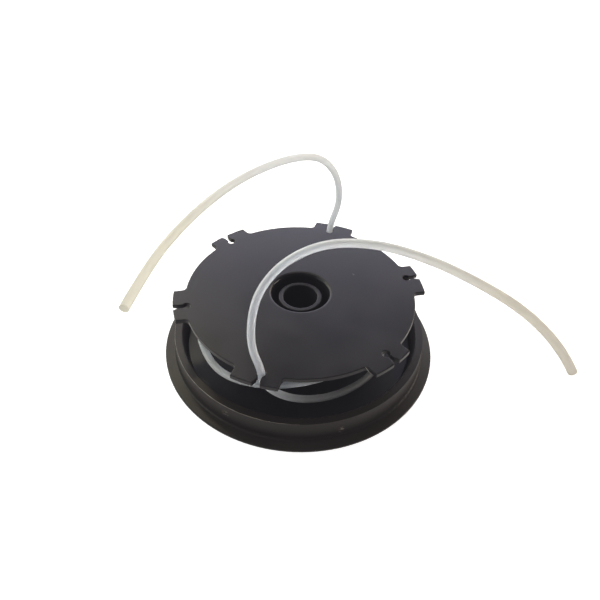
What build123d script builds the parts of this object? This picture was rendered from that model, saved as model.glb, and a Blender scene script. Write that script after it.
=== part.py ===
# Wound reel of a tap-feed trimmer head, standing in its tap cap.
# Millimetres. The Z axis is the spindle axis, and Z = 0 is the ground under the cap's button.
import os
from math import cos, hypot, pi, radians, sin, tan

from build123d import *

# Reel, upper flange
flange_radius = 40.0
flange_thickness = 1.5
flange_edge_radius = 0.3
lug_count = 6
lug_angle = 12.75
lug_reach = 4.1
lug_width = 15.2
lug_root_radius = 1.6
lug_corner_radius = 0.9

# Reel, keyhole slits that park the line ends
line_diameter = 2.4
keyhole_clearance = 0.15
keyhole_inset = 0.5
slit_offset = 0.9
slit_width = 1.4
slit_mouth_width = 2.6
slit_mouth_depth = 1.6

# Reel, drum and spindle tube
winding_width = 19.8
drum_wall = 2.5
drum_root_radius = 0.4
well_radius = 10.0
well_mouth_radius = 1.2
web_thickness = 2.5
bore_radius = 6.0
tube_wall = 1.75
tube_drop = 2.2
tube_end_radius = 0.4
anchor_angle = 165.0
anchor_count = 2

# Reel, lower flange with the ridge where the mould's two side slides met
lower_flange_radius = 41.0
lower_flange_thickness = 1.6
lower_flange_edge_radius = 0.4
parting_angle = -91.0
parting_count = 2
parting_width = 0.7
parting_height = 0.3

# Tap cap, rim and brim
seat_clearance = 0.3
rim_height = 7.4
rim_draft = 1.0
rim_width = 2.7
rim_inner_edge_radius = 0.5
wall_draft = 0.5
brim_reach = 3.75
brim_rise = 0.2
brim_fall = 0.4
brim_edge = 1.0
brim_root_radius = 0.8
brim_edge_radius = 0.45

# Tap cap, floor and ground button
floor_thickness = 2.4
button_height = 6.9
button_radius = 21.0
button_draft = 1.0
button_wall = 2.4
button_edge_radius = 2.4
button_root_radius = 3.0
pocket_corner_radius = 1.2

# Line wound on the drum
winding_layers = 6
winding_clearance = 0.1

# Heights that follow from the sizes above
cap_floor = button_height + floor_thickness
rim_top = cap_floor + rim_height
brim_root = cap_floor + brim_rise
brim_top = brim_root - brim_fall
brim_base = brim_top - brim_edge
reel_base = cap_floor
lower_flange_top = reel_base + lower_flange_thickness
flange_base = lower_flange_top + winding_width
flange_top = flange_base + flange_thickness
web_top = reel_base + web_thickness
tube_top = flange_top - tube_drop

# Radii that follow from the sizes above
lug_tip_radius = flange_radius + lug_reach
drum_radius = well_radius + drum_wall
tube_radius = bore_radius + tube_wall
line_radius = line_diameter / 2
keyhole_radius = line_radius + keyhole_clearance
keyhole_centre = flange_radius - keyhole_inset
seat_radius = lower_flange_radius + seat_clearance
rim_inner_radius = seat_radius + rim_draft
rim_outer_radius = rim_inner_radius + rim_width
wall_foot_radius = rim_outer_radius + wall_draft
brim_radius = wall_foot_radius + brim_reach
winding_radius = drum_radius + winding_layers * line_diameter

# Loose outer turn of each line end: radius, azimuth in degrees, height
front_turn = [
    (28.2, 15, 18.7), (29.3, 0, 17.7), (31.0, -15, 17.2), (33.0, -30, 17.2), (34.8, -45, 17.5),
    (35.9, -60, 18.2), (37.0, -74, 18.8), (38.1, -87, 20.1), (38.7, -98, 22.4),
]
back_turn = [
    (28.2, 5, 22.3), (29.0, -10, 23.2), (30.3, -26, 24.1), (31.7, -42, 25.0), (32.9, -58, 25.5),
    (34.0, -75, 25.0), (35.1, -93, 23.5), (36.8, -112, 21.9), (38.7, -131, 21.0), (37.5, -150, 21.8),
    (36.2, -170, 23.5), (37.2, -190, 24.2), (38.4, -210, 23.7), (38.9, -229, 22.7), (39.0, -247, 21.6),
    (39.1, -264, 20.6), (39.1, -277, 20.1),
]

# Free end of each line, from just under its keyhole to its cut tip: X, Y, Z
front_end = [
    (-10.9, -37.9, 27.8), (-10.8, -38.1, 34.4), (-13.8, -36.8, 41.6), (-13.8, -32.6, 50.4),
    (-11.3, -29.5, 58.3), (-4.4, -27.0, 66.5), (6.2, -26.8, 72.6), (18.8, -30.1, 75.4), (31.0, -35.8, 75.7),
    (42.3, -42.9, 74.6), (53.3, -50.3, 71.9), (62.0, -56.4, 65.8), (66.6, -57.3, 58.7),
]
back_end = [
    (11.0, 37.7, 26.0), (10.7, 38.2, 34.5), (13.8, 34.9, 47.3), (12.0, 30.1, 61.3), (5.5, 23.7, 72.0),
    (-4.3, 13.8, 76.3), (-15.6, 1.6, 77.4), (-24.3, -11.9, 77.6), (-31.5, -26.9, 77.0), (-36.7, -42.6, 76.1),
    (-39.0, -58.3, 75.4),
]


def on_circle(radius, azimuth, height):
    return (radius * cos(radians(azimuth)), radius * sin(radians(azimuth)), height)


def bend_radii(route):
    # Each bend is as large as its shorter run allows
    points = [Vector(*point) for point in route]
    radii = []
    for before, corner, after in zip(points, points[1:], points[2:]):
        run_in = corner - before
        run_out = after - corner
        half_turn = radians(run_in.get_angle(run_out)) / 2
        radii.append(0.45 * min(run_in.length, run_out.length) / tan(half_turn))
    return radii


# Reel
with BuildPart() as reel:
    with BuildSketch(Plane.XZ):
        with BuildLine():
            FilletPolyline(
                (bore_radius, reel_base),
                (lower_flange_radius, reel_base),
                (lower_flange_radius, lower_flange_top),
                (drum_radius, lower_flange_top),
                (drum_radius, flange_top),
                (well_radius, flange_top),
                (well_radius, web_top),
                (tube_radius, web_top),
                (tube_radius, tube_top),
                (bore_radius, tube_top),
                radius=[
                    0, lower_flange_edge_radius, lower_flange_edge_radius, drum_root_radius, 0,
                    0, tube_end_radius, tube_end_radius, tube_end_radius, tube_end_radius,
                ],
                close=True,
            )
        make_face()
    revolve(axis=Axis.Z)

    # Upper flange: a disc with lugs, rounded in plan, then slit from each lug's tip
    with BuildSketch(Plane.XY.offset(flange_base)) as flange_plan:
        Circle(flange_radius)
        with PolarLocations(lug_tip_radius / 2, lug_count, lug_angle):
            Rectangle(lug_tip_radius, lug_width)
        Circle(lug_tip_radius, mode=Mode.INTERSECT)
        corners = flange_plan.vertices()
        lug_middle = (flange_radius + lug_tip_radius) / 2
        tips = corners.filter_by(lambda corner: hypot(corner.X, corner.Y) > lug_middle)
        roots = corners.filter_by(lambda corner: hypot(corner.X, corner.Y) < lug_middle)
        fillet(roots, lug_root_radius)
        fillet(tips, lug_corner_radius)
        with PolarLocations(keyhole_centre, lug_count, lug_angle), Locations((0, slit_offset)):
            Circle(keyhole_radius, mode=Mode.SUBTRACT)
            Polygon(
                (0, -slit_width / 2),
                (lug_tip_radius - keyhole_centre - slit_mouth_depth, -slit_width / 2),
                (lug_tip_radius - keyhole_centre, -slit_mouth_width / 2),
                (lug_tip_radius - keyhole_centre, slit_mouth_width / 2),
                (lug_tip_radius - keyhole_centre - slit_mouth_depth, slit_width / 2),
                (0, slit_width / 2),
                align=None,
                mode=Mode.SUBTRACT,
            )
        Circle(drum_radius, mode=Mode.SUBTRACT)
    extrude(amount=flange_thickness)

    drum_head = reel.edges().filter_by_position(Axis.Z, flange_base, flange_base).sort_by(SortBy.LENGTH)[-1]
    fillet(drum_head, drum_root_radius)
    flange_face = reel.faces().filter_by(Axis.Z).sort_by(Axis.Z)[-1]
    well_mouth = flange_face.inner_wires()[0].edges()
    flange_edge = flange_face.outer_wire().edges()
    fillet(well_mouth, well_mouth_radius)
    fillet(flange_edge, flange_edge_radius)

    # Holes in the drum that hold the inner ends of the line
    anchor_start = (tube_radius + well_radius) / 2
    anchor_height = (lower_flange_top + flange_base) / 2
    for turn in range(anchor_count):
        angle = anchor_angle + turn * 360 / anchor_count
        outward = on_circle(1, angle, 0)
        with BuildSketch(Plane(on_circle(anchor_start, angle, anchor_height), z_dir=outward)):
            Circle(keyhole_radius)
        extrude(amount=drum_radius, mode=Mode.SUBTRACT)

    # Moulded parting ridges across the lower flange
    ridge_start = drum_radius + drum_root_radius
    ridge_end = lower_flange_radius - lower_flange_edge_radius
    with BuildSketch(Plane.XY.offset(lower_flange_top)):
        with PolarLocations((ridge_start + ridge_end) / 2, parting_count, parting_angle):
            Rectangle(ridge_end - ridge_start, parting_width)
    extrude(amount=parting_height)

# Tap cap
with BuildPart() as tap_cap:
    with BuildSketch(Plane.XZ):
        with BuildLine():
            FilletPolyline(
                (0, 0),
                (button_radius - button_draft, 0),
                (button_radius, button_height),
                (wall_foot_radius, button_height),
                (brim_radius, brim_base),
                (brim_radius, brim_top),
                (wall_foot_radius, brim_root),
                (rim_outer_radius, rim_top),
                (rim_inner_radius, rim_top),
                (seat_radius, cap_floor),
                (button_radius - button_wall, cap_floor),
                (button_radius - button_draft - button_wall, button_wall),
                (0, button_wall),
                radius=[
                    0, button_edge_radius, button_root_radius, 0, brim_edge_radius, brim_edge_radius,
                    brim_root_radius, 0, rim_inner_edge_radius, 0, 0, pocket_corner_radius, 0,
                ],
                close=True,
            )
        make_face()
    revolve(axis=Axis.Z)

# Wound turns on the drum, with the outer layer's ridges
turns_across = int((winding_width - parting_height - 2 * winding_clearance) / line_diameter)
winding_base = lower_flange_top + parting_height + winding_clearance
with BuildPart() as line_winding:
    with BuildSketch(Plane.XZ):
        core_width = winding_radius - line_radius - drum_radius - winding_clearance
        with Locations((drum_radius + winding_clearance, winding_base)):
            Rectangle(core_width, turns_across * line_diameter, align=Align.MIN)
        with Locations((winding_radius - line_radius, winding_base + line_radius)):
            with GridLocations(0, line_diameter, 1, turns_across, align=(Align.CENTER, Align.MIN)):
                Circle(line_radius)
    revolve(axis=Axis.Z)

# Loose turn and free end of each line
os.makedirs("parts", exist_ok=True)
line_ends = {
    "line_tail_front": [on_circle(*point) for point in front_turn] + front_end,
    "line_tail_back": [on_circle(*point) for point in back_turn] + back_end,
}
for name, route in line_ends.items():
    radii = bend_radii(route)
    with BuildPart() as line_tail:
        with BuildLine() as path:
            FilletPolyline(*route, radius=radii)
        with BuildSketch(path.line ^ 0):
            Circle(line_radius)
        sweep()
    length = path.wire().length
    fill = line_tail.part.volume / (pi * line_radius**2 * length)
    print(name, "bend radii", [round(radius, 1) for radius in radii])
    print(name, "length", round(length, 1), "volume over section times length", round(fill, 4))
    line_tail.part.label = name
    export_step(line_tail.part, f"parts/{name}.step")

for name, piece in {"reel": reel, "tap_cap": tap_cap, "line_winding": line_winding}.items():
    piece.part.label = name
    export_step(piece.part, f"parts/{name}.step")
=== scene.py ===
# Wound reel of a trimmer head in its tap cap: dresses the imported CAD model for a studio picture
import math

import bmesh
import bpy
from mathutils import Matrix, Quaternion, Vector


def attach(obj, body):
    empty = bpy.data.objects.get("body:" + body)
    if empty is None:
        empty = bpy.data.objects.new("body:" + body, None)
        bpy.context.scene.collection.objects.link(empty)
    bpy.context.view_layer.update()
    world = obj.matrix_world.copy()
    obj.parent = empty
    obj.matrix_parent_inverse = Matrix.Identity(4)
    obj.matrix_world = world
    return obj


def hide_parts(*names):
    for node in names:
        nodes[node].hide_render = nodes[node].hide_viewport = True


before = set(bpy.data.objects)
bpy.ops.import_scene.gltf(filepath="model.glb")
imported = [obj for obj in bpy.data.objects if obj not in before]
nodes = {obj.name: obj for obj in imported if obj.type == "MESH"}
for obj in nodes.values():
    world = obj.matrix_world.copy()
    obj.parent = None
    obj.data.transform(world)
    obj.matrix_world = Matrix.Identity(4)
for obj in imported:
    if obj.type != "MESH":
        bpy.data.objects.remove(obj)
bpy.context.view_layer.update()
scene = bpy.context.scene
mm = 0.001
reelTop = (0.0, 0.0, 0.0322)  # middle of the flange's upper face
print("frame loaded:", ", ".join(sorted(nodes)))


def linear(hexColour):
    # sRGB hex to the linear colour that a shader socket takes
    parts = [int(hexColour[i : i + 2], 16) / 255 for i in (1, 3, 5)]
    return [c / 12.92 if c <= 0.04045 else ((c + 0.055) / 1.055) ** 2.4 for c in parts] + [1.0]


def addNode(tree, kind, sockets=None, **settings):
    # sockets: input name or number to a value or to another node's output
    node = tree.nodes.new(kind)
    for name, value in settings.items():
        setattr(node, name, value)
    for name, value in (sockets or {}).items():
        if isinstance(value, bpy.types.NodeSocket):
            tree.links.new(value, node.inputs[name])
        else:
            node.inputs[name].default_value = value
    return node


def newMaterial(name):
    material = bpy.data.materials.new(name)
    material.use_nodes = True
    material.node_tree.nodes.clear()
    return material, material.node_tree


def onCircle(radius, azimuth, height):
    # all in millimetres and degrees, gives metres
    angle = math.radians(azimuth)
    return Vector((radius * math.cos(angle), radius * math.sin(angle), height)) * mm


def smoothStep(t):
    t = min(max(t, 0.0), 1.0)
    return t * t * (3 - 2 * t)


def tubeCurve(name, places, radii, make):
    # one open spline with its control points at the places, radii in millimetres
    data = bpy.data.curves.new(name, "CURVE")
    data.dimensions = "3D"
    spline = data.splines.new("NURBS")
    spline.points.add(len(places) - 1)
    for control, place, radius in zip(spline.points, places, radii):
        control.co = (*place, 1)
        control.radius = radius * mm
    spline.order_u = 3
    spline.use_endpoint_u = True
    spline.resolution_u = make["stepsPerPoint"]
    data.resolution_u = make["stepsPerPoint"]
    data.bevel_depth = 1.0  # times each point's radius
    data.bevel_resolution = make["roundness"]
    data.use_fill_caps = True
    piece = bpy.data.objects.new(name, data)
    scene.collection.objects.link(piece)
    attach(piece, "root")
    return piece


# Camera, fitted to the flange and rim of the photograph
cameraView = {
    "target": reelTop,
    "distance": 0.197,
    "elevation": 40.68,
    "roll": 2.02,
    "sensor": 36.0,
    "lens": 33.72,
    "shift": (-0.0007, -0.0145),
    "nearest": 0.005,
}

tilt = math.radians(cameraView["elevation"])
backward = Vector((0, -math.cos(tilt), math.sin(tilt)))
camera = bpy.data.objects.new("photo_camera", bpy.data.cameras.new("photo_camera"))
camera.data.sensor_width = cameraView["sensor"]
camera.data.lens = cameraView["lens"]
camera.data.shift_x, camera.data.shift_y = cameraView["shift"]
camera.data.clip_start = cameraView["nearest"]
camera.location = Vector(cameraView["target"]) + backward * cameraView["distance"]
camera.rotation_mode = "QUATERNION"
levelTurn = (-backward).to_track_quat("-Z", "Y")
camera.rotation_quaternion = levelTurn @ Quaternion((0, 0, 1), math.radians(cameraView["roll"]))
scene.collection.objects.link(camera)
scene.camera = camera
print("camera set")


# Line: two lengths wound side by side on the drum, each with a loose turn and a free end
lineMake = {
    "diameter": 2.4,
    "roundness": 6,
    "stepsPerPoint": 8,
}

woundLay = {
    "drumRadius": 12.5,
    "lowHeight": 13.7,  # middle of the pair at the lower flange
    "highHeight": 28.1,
    "travelTurns": 3.0,  # turns from one flange to the other
    "layerTurns": 3.5,  # the same with the rest at the flange
    "climbStart": 2.85,
    "climbTurns": 0.3,
    "pointsPerTurn": 16,
    "anchorAngle": 165.0,
    "anchorTurn": 1.729,  # where the front line's layer passes the anchor hole's height
    "anchorHeight": 20.8,
    "anchorRadii": (10.6, 12.6),
}

frontLine = {
    "name": "line_front",
    "side": -1,
    "startTurn": 1.729,
    "endTurn": 19.0207,
    "length": 2.4,
    # radius, azimuth, height
    "turn": [
        (27.3, 38, 19.2), (28.2, 15, 18.7), (29.3, 0, 17.7), (31.0, -15, 17.2),
        (33.0, -30, 17.2), (34.8, -45, 17.5), (35.9, -60, 18.2), (37.0, -74, 18.8),
        (38.1, -87, 20.1), (38.7, -98, 22.4),
    ],
    # x, y, z
    "end": [
        (-10.9, -37.9, 27.8), (-10.75, -38.1, 33.4), (-13.8, -36.8, 41.6), (-13.8, -32.6, 50.4),
        (-11.3, -29.5, 58.3), (-4.4, -27.0, 66.5), (6.2, -26.8, 72.6), (18.8, -30.1, 75.4),
        (31.0, -35.8, 75.7), (42.3, -42.9, 74.6), (53.3, -50.3, 71.9), (62.0, -56.4, 65.8),
        (66.6, -57.3, 58.7),
    ],
    "stands": ("line_tail_front", "line_winding"),
}

backLine = {
    "name": "line_back",
    "side": 1,
    "startTurn": 1.229,
    "endTurn": 19.0485,
    "length": 2.57,
    "turn": [
        (27.5, 28, 21.7), (28.2, 5, 22.3), (29.0, -10, 23.2), (30.3, -26, 24.1),
        (31.7, -42, 25.0), (32.9, -58, 25.5), (34.0, -75, 25.0), (35.1, -93, 23.5),
        (36.8, -112, 21.9), (38.7, -131, 21.0), (37.5, -150, 21.8), (36.2, -170, 23.5),
        (37.2, -190, 24.2), (38.4, -210, 23.7), (38.9, -229, 22.7), (39.0, -247, 21.6),
        (39.1, -264, 20.6), (39.1, -277, 20.1),
    ],
    "end": [
        (11.0, 37.7, 26.0), (10.7, 38.2, 34.5), (13.8, 34.9, 47.3), (12.0, 30.1, 61.3),
        (5.5, 23.7, 72.0), (-4.3, 13.8, 76.3), (-15.6, 1.6, 77.4), (-24.3, -11.9, 77.6),
        (-31.5, -26.9, 77.0), (-36.7, -42.6, 76.1), (-39.0, -58.3, 75.4),
    ],
    "stands": ("line_tail_back",),
}


def turnAngle(turn):
    return woundLay["anchorAngle"] - 360 * (turn - woundLay["anchorTurn"])


def woundTurns(line):
    # one point list for all the layers, from the anchor hole outwards
    perTurn = woundLay["pointsPerTurn"]
    span = line["endTurn"] - line["startTurn"]
    steps = round(span * perTurn)
    corner = 1 / math.cos(math.pi / perTurn)  # the spline runs inside its control points
    points = []
    for step in range(steps + 1):
        turn = line["startTurn"] + span * step / steps
        layer = int(turn // woundLay["layerTurns"])
        within = turn - layer * woundLay["layerTurns"]
        travel = min(within / woundLay["travelTurns"], 1.0)
        if layer % 2:
            travel = 1 - travel
        climb = smoothStep((within - woundLay["climbStart"]) / woundLay["climbTurns"])
        radius = woundLay["drumRadius"] + lineMake["diameter"] * (0.5 + layer + climb)
        rise = woundLay["highHeight"] - woundLay["lowHeight"]
        height = woundLay["lowHeight"] + travel * rise
        height += line["side"] * lineMake["diameter"] / 2
        points.append(onCircle(radius * corner, turnAngle(turn), height))
    return points


def lineCurve(line):
    anchorAzimuth = turnAngle(line["startTurn"])
    anchorHeight = woundLay["anchorHeight"]
    points = [onCircle(r, anchorAzimuth, anchorHeight) for r in woundLay["anchorRadii"]]
    points += woundTurns(line)
    points += [onCircle(*place) for place in line["turn"]]
    points += [Vector(place) * mm for place in line["end"]]
    radii = [lineMake["diameter"] / 2] * len(points)
    piece = tubeCurve(line["name"], points, radii, lineMake)
    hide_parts(*line["stands"])
    return piece


lines = [lineCurve(frontLine), lineCurve(backLine)]
print("lines wound:", ", ".join(piece.name for piece in lines))


# Glass-filled nylon, injection moulded in spark-eroded tools: a satin near-black skin whose fine
# even grain spreads the light, with faint cloudy flow in its sheen and a few whitened scuffs
mouldSkin = {
    "flowDetail": 3.0,
    "flowRoughness": 0.5,
    "flowSwirl": 0.6,
    "sheenRange": (0.3, 0.7),  # part of the flow's range over which the roughness changes
    "grainDetail": 2.0,
    "grainRoughness": 0.6,
    "grainStrength": 0.5,
    "scuffCore": 0.3,  # part of a scuff's size that is rubbed throughout
    "streakGrains": 2,  # width of the streaks in a scuff, in grains
    "streakDetail": 3.0,
    "streakSwirl": 1.0,
    "streakRange": (0.5, 0.62),
    "streakStrength": 0.8,
}

reelLook = {
    "name": "moulded_nylon_dark_grey",
    "dark": "#151416",
    "light": "#1c1b1e",
    "roughness": (0.32, 0.41),
    "specular": 0.18,
    "ior": 1.53,
    "grainMm": 0.35,  # real grain is nearer 0.1 mm, drawn coarser so that it shows
    "grainDepthMm": 0.012,
    "flowMm": 14.0,
    "wornRoughness": 0.16,
    "wornMm": (10.0, 0.5),  # radius of the well's wall, rubbed smooth, and reach to both sides
    "scuffed": "#8d8a8c",
    "scuffs": [(19.0, 10.4, 32.2, 0.6)],  # x, y, z and size, in millimetres
}

capLook = {
    "name": "moulded_nylon_brown_black",
    "dark": "#191613",
    "light": "#221d19",
    "roughness": (0.38, 0.5),
    "specular": 0.18,
    "ior": 1.53,
    "grainMm": 0.4,
    "grainDepthMm": 0.014,
    "flowMm": 18.0,
    "wornRoughness": 0.65,
    "wornMm": (0.0, 12.5),  # the ground button, scuffed dull
    "scuffed": "#7d766c",
    "scuffs": [
        (-22.7, -39.2, 13.4, 1.5), (14.4, -43.0, 12.2, 1.6), (-41.2, -17.7, 12.2, 1.0),
    ],
}


def mouldedNylon(look):
    material, tree = newMaterial(look["name"])
    place = addNode(tree, "ShaderNodeTexCoord").outputs["Object"]
    flow = addNode(tree, "ShaderNodeTexNoise", {
        "Vector": place,
        "Scale": 1 / (look["flowMm"] * mm),
        "Detail": mouldSkin["flowDetail"],
        "Roughness": mouldSkin["flowRoughness"],
        "Distortion": mouldSkin["flowSwirl"],
    })
    grain = addNode(tree, "ShaderNodeTexNoise", {
        "Vector": place,
        "Scale": 1 / (look["grainMm"] * mm),
        "Detail": mouldSkin["grainDetail"],
        "Roughness": mouldSkin["grainRoughness"],
    })
    colour = addNode(tree, "ShaderNodeMix", {
        "Factor": flow.outputs["Fac"], "A": linear(look["dark"]), "B": linear(look["light"]),
    }, data_type="RGBA")
    marked = 0.0
    for x, y, z, size in look["scuffs"]:
        away = addNode(tree, "ShaderNodeVectorMath", {
            0: place, 1: (x * mm, y * mm, z * mm),
        }, operation="DISTANCE")
        mark = addNode(tree, "ShaderNodeMapRange", {
            "Value": away.outputs["Value"],
            "From Min": size * mm,
            "From Max": mouldSkin["scuffCore"] * size * mm,
        })
        most = addNode(tree, "ShaderNodeMath", {
            0: marked, 1: mark.outputs["Result"],
        }, operation="MAXIMUM")
        marked = most.outputs["Value"]
    streaks = addNode(tree, "ShaderNodeTexNoise", {
        "Vector": place,
        "Scale": 1 / (look["grainMm"] * mouldSkin["streakGrains"] * mm),
        "Detail": mouldSkin["streakDetail"],
        "Distortion": mouldSkin["streakSwirl"],
    })
    bare, rubbed = mouldSkin["streakRange"]
    broken = addNode(tree, "ShaderNodeMapRange", {
        "Value": streaks.outputs["Fac"],
        "From Min": bare,
        "From Max": rubbed,
        "To Max": mouldSkin["streakStrength"],
    })
    scuff = addNode(tree, "ShaderNodeMath", {
        0: marked, 1: broken.outputs["Result"],
    }, operation="MULTIPLY")
    surface = addNode(tree, "ShaderNodeMix", {
        "Factor": scuff.outputs["Value"], "A": colour.outputs[2], "B": linear(look["scuffed"]),
    }, data_type="RGBA")
    thin, thick = mouldSkin["sheenRange"]
    smooth, rough = look["roughness"]
    sheen = addNode(tree, "ShaderNodeMapRange", {
        "Value": flow.outputs["Fac"],
        "From Min": thin,
        "From Max": thick,
        "To Min": smooth,
        "To Max": rough,
    })
    skin = addNode(tree, "ShaderNodeBump", {
        "Height": grain.outputs["Fac"],
        "Strength": mouldSkin["grainStrength"],
        "Distance": look["grainDepthMm"] * mm,
    })
    flat = addNode(tree, "ShaderNodeVectorMath", {
        0: place, 1: (1.0, 1.0, 0.0),
    }, operation="MULTIPLY")
    radius = addNode(tree, "ShaderNodeVectorMath", {0: flat.outputs["Vector"]}, operation="LENGTH")
    middle, within = look["wornMm"]
    worn = addNode(tree, "ShaderNodeMath", {
        0: radius.outputs["Value"], 1: middle * mm, 2: within * mm,
    }, operation="COMPARE")
    gloss = addNode(tree, "ShaderNodeMix", {
        "Factor": worn.outputs["Value"], "A": sheen.outputs["Result"], "B": look["wornRoughness"],
    })
    shader = addNode(tree, "ShaderNodeBsdfPrincipled", {
        "Base Color": surface.outputs[2],
        "Roughness": gloss.outputs["Result"],
        "IOR": look["ior"],
        "Specular IOR Level": look["specular"],
        "Normal": skin.outputs["Normal"],
    })
    addNode(tree, "ShaderNodeOutputMaterial", {"Surface": shader.outputs["BSDF"]})
    return material


# Flash, the feather edge left where the mould's halves met: thin whitened threads of the same
# nylon that catch the light along the edges
flashLook = {
    "name": "whitened_nylon_flash",
    "colour": "#7d7a75",
    "roughness": 0.45,
}

flashMake = {
    "roundness": 2,
    "stepsPerPoint": 12,
}

rimFlash = {
    "name": "rim_flash",
    "slot": "cap_nylon",
    "radius": 45.0,
    "height": 16.7,
    "azimuths": (-178, -88),
    "stepDegrees": 2,
    "threadMm": 0.075,
    "thinEnds": 0.15,  # part of the thickness that is left at both ends
    "waves": (1.7, 0.61),  # radians per step of the two waves that make it uneven
    "unevenMm": 0.05,
    "unevenShare": 0.4,  # how far the thickness follows the waves
}

lugFlash = {
    "name": "lug_flash",
    "slot": "reel_nylon",
    "points": [
        (20.6, -34.4, 32.2), (21.0, -35.4, 32.4), (21.5, -36.3, 32.5), (21.9, -37.0, 32.3),
    ],
    "threadMm": 0.06,
}

# Rag of the reel's nylon that half closes the right lug's empty keyhole, low in the hole and
# thickest at its back
keyholeRag = {
    "name": "keyhole_rag",
    "slot": "reel_nylon",
    "centre": (38.33, 9.60),
    "holeRadius": 1.35,
    "height": 31.0,
    "middleAzimuth": 64,
    "reachDegrees": 72,
    "stepDegrees": 12,
    "threadMm": 0.56,
    "taper": 0.25,  # part of the thickness that is lost at both ends
    "sunkMm": 0.02,  # depth to which it sits in the hole's wall
}


def flashNylon(look):
    material, tree = newMaterial(look["name"])
    shader = addNode(tree, "ShaderNodeBsdfPrincipled", {
        "Base Color": linear(look["colour"]), "Roughness": look["roughness"],
    })
    addNode(tree, "ShaderNodeOutputMaterial", {"Surface": shader.outputs["BSDF"]})
    return material


def flashThread(flash, places, radii):
    piece = tubeCurve(flash["name"], places, radii, flashMake)
    return piece


def rimThread(flash):
    first, last = flash["azimuths"]
    steps = (last - first) // flash["stepDegrees"]
    short, long = flash["waves"]
    thin = flash["thinEnds"]
    places, radii = [], []
    for step in range(steps + 1):
        azimuth = first + step * flash["stepDegrees"]
        uneven = math.sin(short * step) * math.sin(long * step + 1)
        height = flash["height"] + flash["unevenMm"] * uneven
        fade = math.sin(math.pi * step / steps) ** 0.5
        thick = flash["threadMm"] * (thin + (1 - thin) * fade)
        places.append(onCircle(flash["radius"], azimuth, height))
        radii.append(thick * (1 + flash["unevenShare"] * uneven))
    return flashThread(flash, places, radii)


def lugThread(flash):
    places = [Vector(place) * mm for place in flash["points"]]
    return flashThread(flash, places, [flash["threadMm"]] * len(places))


def ragThread(rag):
    centre = Vector((*rag["centre"], 0.0)) * mm
    steps = rag["reachDegrees"] // rag["stepDegrees"]
    places, radii = [], []
    for step in range(-steps, steps + 1):
        thick = rag["threadMm"] * (1 - rag["taper"] * (step / steps) ** 2)
        azimuth = rag["middleAzimuth"] + step * rag["stepDegrees"]
        reach = rag["holeRadius"] + rag["sunkMm"] - thick
        places.append(centre + onCircle(reach, azimuth, rag["height"]))
        radii.append(thick)
    return flashThread(rag, places, radii)


ragPiece = ragThread(keyholeRag)
flashes = [rimThread(rimFlash), lugThread(lugFlash)]
print("flash left on:", ", ".join(piece.name for piece in [ragPiece, *flashes]))


# Nylon monofilament, extruded: milky and half see-through, so that light soaks into it and gathers
# along the side turned away from the lamps; the free ends have gone creamy in the sun, and the
# loose turns are painted grey where they hang low, as painted shade under the flange
lineLook = {
    "name": "extruded_nylon_line",
    "milky": "#e6e9ee",
    "cloudy": "#dadfe5",
    "creamy": "#dedcd0",
    # painted shade: the grey that the low loose turns take on
    "shaded": "#3d4043",
    "roughness": 0.6,
    "specular": 0.15,
    "ior": 1.53,
    "soak": 0.6,
    "soakMm": 2.0,
    "clear": 0.6,
    "cloudMm": 5.0,
    "cloudDetail": 2.0,
    "creamMm": (36.0, 62.0),  # distance from the flange's middle over which the cream comes in
    "shadeMm": (21.0, 17.2),  # height over which the painted shade comes in
    "dustReachMm": (30.0, 34.0),  # and distance from the axis, so that the wound turns stay free of the painted shade
}

# The front line's free end is less creamy, and its loose turn hangs lower and gets more painted
# shade
shadedLineLook = {
    **lineLook,
    "name": "extruded_nylon_line_painted_shade",
    "creamy": "#d6d2c8",
    "creamMm": (42.0, 80.0),
    "shadeMm": (24.0, 17.6),
}


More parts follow.
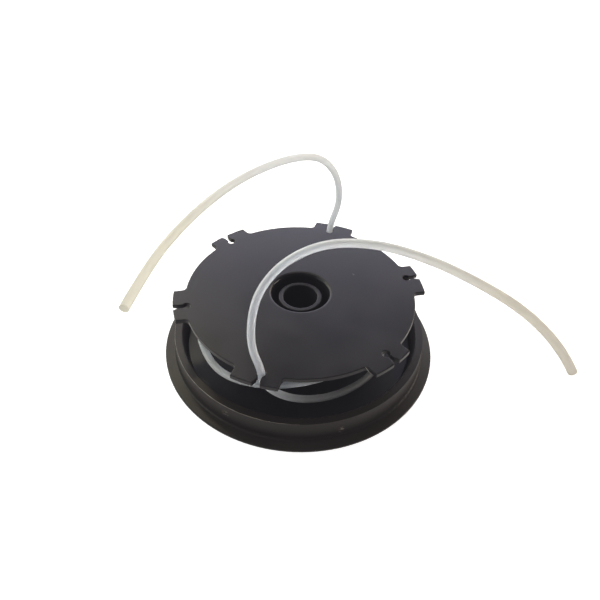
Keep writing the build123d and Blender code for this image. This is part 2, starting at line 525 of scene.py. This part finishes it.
def lineNylon(look):
    material, tree = newMaterial(look["name"])
    place = addNode(tree, "ShaderNodeTexCoord").outputs["Object"]
    cloud = addNode(tree, "ShaderNodeTexNoise", {
        "Vector": place, "Scale": 1 / (look["cloudMm"] * mm), "Detail": look["cloudDetail"],
    })
    fresh = addNode(tree, "ShaderNodeMix", {
        "Factor": cloud.outputs["Fac"], "A": linear(look["milky"]), "B": linear(look["cloudy"]),
    }, data_type="RGBA")
    away = addNode(tree, "ShaderNodeVectorMath", {0: place, 1: reelTop}, operation="DISTANCE")
    near, far = look["creamMm"]
    sun = addNode(tree, "ShaderNodeMapRange", {
        "Value": away.outputs["Value"], "From Min": near * mm, "From Max": far * mm,
    })
    aged = addNode(tree, "ShaderNodeMix", {
        "Factor": sun.outputs["Result"], "A": fresh.outputs[2], "B": linear(look["creamy"]),
    }, data_type="RGBA")
    height = addNode(tree, "ShaderNodeSeparateXYZ", {"Vector": place})
    # painted shade on the loose turns, by height and by distance from the axis
    unshaded, shaded = look["shadeMm"]
    low = addNode(tree, "ShaderNodeMapRange", {
        "Value": height.outputs["Z"], "From Min": unshaded * mm, "From Max": shaded * mm,
    })
    flat = addNode(tree, "ShaderNodeVectorMath", {
        0: place, 1: (1.0, 1.0, 0.0),
    }, operation="MULTIPLY")
    radius = addNode(tree, "ShaderNodeVectorMath", {0: flat.outputs["Vector"]}, operation="LENGTH")
    unshaded, shaded = look["dustReachMm"]
    loose = addNode(tree, "ShaderNodeMapRange", {
        "Value": radius.outputs["Value"], "From Min": unshaded * mm, "From Max": shaded * mm,
    })
    dust = addNode(tree, "ShaderNodeMath", {
        0: low.outputs["Result"], 1: loose.outputs["Result"],
    }, operation="MULTIPLY")
    # the painted shade mixed into the line's colour
    colour = addNode(tree, "ShaderNodeMix", {
        "Factor": dust.outputs["Value"], "A": aged.outputs[2], "B": linear(look["shaded"]),
    }, data_type="RGBA")
    shader = addNode(tree, "ShaderNodeBsdfPrincipled", {
        "Base Color": colour.outputs[2],
        "Roughness": look["roughness"],
        "IOR": look["ior"],
        "Specular IOR Level": look["specular"],
        "Transmission Weight": look["clear"],
        "Subsurface Weight": look["soak"],
        "Subsurface Radius": (1.0, 1.0, 1.0),
        "Subsurface Scale": look["soakMm"] * mm,
    })
    addNode(tree, "ShaderNodeOutputMaterial", {"Surface": shader.outputs["BSDF"]})
    return material


def dress(piece, material):
    piece.data.materials.clear()
    piece.data.materials.append(material)


reelMaterial = mouldedNylon(reelLook)
for piece in (nodes["reel"], ragPiece):
    dress(piece, reelMaterial)
dress(nodes["tap_cap"], mouldedNylon(capLook))
flashMaterial = flashNylon(flashLook)
for piece in flashes:
    dress(piece, flashMaterial)
# the front line takes the look with more painted shade on its loose turn
for piece, look in zip(lines, (shadedLineLook, lineLook)):
    dress(piece, lineNylon(look))
    piece.visible_glossy = False  # the see-through line leaves no dark streak in the flange's sheen
print("materials set")


# Studio: white floor and tent, and softboxes that stand mostly behind and to the left
studio = {
    "floorSize": 8.0,
    "floorDrop": 0.0001,
    "tentShare": 0.98,  # of half the floor
    "tentSegments": (48, 24),
    "floor": "#bcbcbc",
    "floorGlow": 0.95,  # lit from behind like a light table, so that it stays white
    "ground": "#fff9f2",  # what the object's low sides mirror, the floor being hidden from them
    "groundStrength": 1.25,
    "sky": "#ffffff",
    "skyStrength": 0.0,  # dark above, where the softboxes give all the light
    "horizonBlend": 0.15,
    "veil": (0.0082, 0.0079, 0.0096),
}

softboxes = {
    # where it stands, width and height, watts, colour
    "left_key": ((-0.34, 0.59, 0.87), (0.12, 0.12), 2.3, "#fff5d3"),
    "back_sheen": ((0.0, 1.0, 0.5), (1.6, 0.34), 11.4, "#ebeaff"),
    "back_right": ((0.71, 0.79, 0.43), (0.6, 0.5), 4.6, "#fff2d3"),
    "back_left": ((-0.79, 0.66, 0.5), (0.9, 0.7), 5.6, "#fff9d7"),
    "left_wall": ((-1.03, 0.04, 0.5), (1.3, 0.9), 6.7, "#f6fffc"),
    "right_low": ((1.12, 0.16, 0.2), (0.5, 0.3), 6.0, "#fff5eb"),
    "left_lamp": ((-0.9, 0.19, 0.6), (0.08, 0.08), 0.7, "#fff7dc"),
    "front_lamp": ((-0.4, -0.74, 0.71), (0.08, 0.08), 0.5, "#f9f6ff"),
    "overhead": ((0.0, -0.1, 1.2), (0.8, 0.8), 2.8, "#fff3e5"),
}

floorMesh = bpy.data.meshes.new("studio_floor")
half = studio["floorSize"] / 2
corners = [(-half, -half, 0), (half, -half, 0), (half, half, 0), (-half, half, 0)]
floorMesh.from_pydata(corners, [], [(0, 1, 2, 3)])
floor = bpy.data.objects.new("studio_floor", floorMesh)
floor.location.z = -studio["floorDrop"]
scene.collection.objects.link(floor)
paper, tree = newMaterial("studio_paper")
sheet = addNode(tree, "ShaderNodeBsdfPrincipled", {
    "Base Color": linear(studio["floor"]),
    "Roughness": 1.0,
    "Specular IOR Level": 0.0,
    "Emission Color": (1.0, 1.0, 1.0, 1.0),
    "Emission Strength": studio["floorGlow"],
})
addNode(tree, "ShaderNodeOutputMaterial", {"Surface": sheet.outputs["BSDF"]})
dress(floor, paper)

# White tent round the set: it shines through the line and closes the picture in low views
tentMesh = bpy.data.meshes.new("studio_tent")
shape = bmesh.new()
around, upward = studio["tentSegments"]
bmesh.ops.create_uvsphere(
    shape, u_segments=around, v_segments=upward, radius=half * studio["tentShare"]
)
shape.to_mesh(tentMesh)
shape.free()
tent = bpy.data.objects.new("studio_tent", tentMesh)
scene.collection.objects.link(tent)
dress(tent, paper)
tent.visible_shadow = False
for sheetPiece in (floor, tent):
    sheetPiece.visible_glossy = False
    sheetPiece.visible_diffuse = False

world = bpy.data.worlds.new("quiet_room")
world.use_nodes = True
tree = world.node_tree
tree.nodes.clear()
outward = addNode(tree, "ShaderNodeTexCoord").outputs["Generated"]
heading = addNode(tree, "ShaderNodeSeparateXYZ", {"Vector": outward})
above = addNode(tree, "ShaderNodeMapRange", {
    "Value": heading.outputs["Z"],
    "From Min": -studio["horizonBlend"],
    "From Max": studio["horizonBlend"],
})
ground = addNode(tree, "ShaderNodeBackground", {
    "Color": linear(studio["ground"]), "Strength": studio["groundStrength"],
})
sky = addNode(tree, "ShaderNodeBackground", {
    "Color": linear(studio["sky"]), "Strength": studio["skyStrength"],
})
room = addNode(tree, "ShaderNodeMixShader", {
    "Fac": above.outputs["Result"], 1: ground.outputs["Background"], 2: sky.outputs["Background"],
})
addNode(tree, "ShaderNodeOutputWorld", {"Surface": room.outputs["Shader"]})
scene.world = world

for name, (stand, size, watts, colour) in softboxes.items():
    data = bpy.data.lights.new(name, "AREA")
    data.shape = "RECTANGLE"
    data.size, data.size_y = size
    data.energy = watts
    data.color = linear(colour)[:3]
    lamp = bpy.data.objects.new(name, data)
    lamp.location = stand
    lamp.rotation_mode = "QUATERNION"
    lamp.rotation_quaternion = (Vector(reelTop) - lamp.location).to_track_quat("-Z", "Y")
    scene.collection.objects.link(lamp)

# Veil of light in the lens from the white surroundings, so that the deepest shade isn't black
scene.view_settings.view_transform = "Standard"
scene.view_settings.use_curve_mapping = True
scene.view_settings.curve_mapping.black_level = [-level for level in studio["veil"]]
scene.view_settings.curve_mapping.update()
print("studio lit")
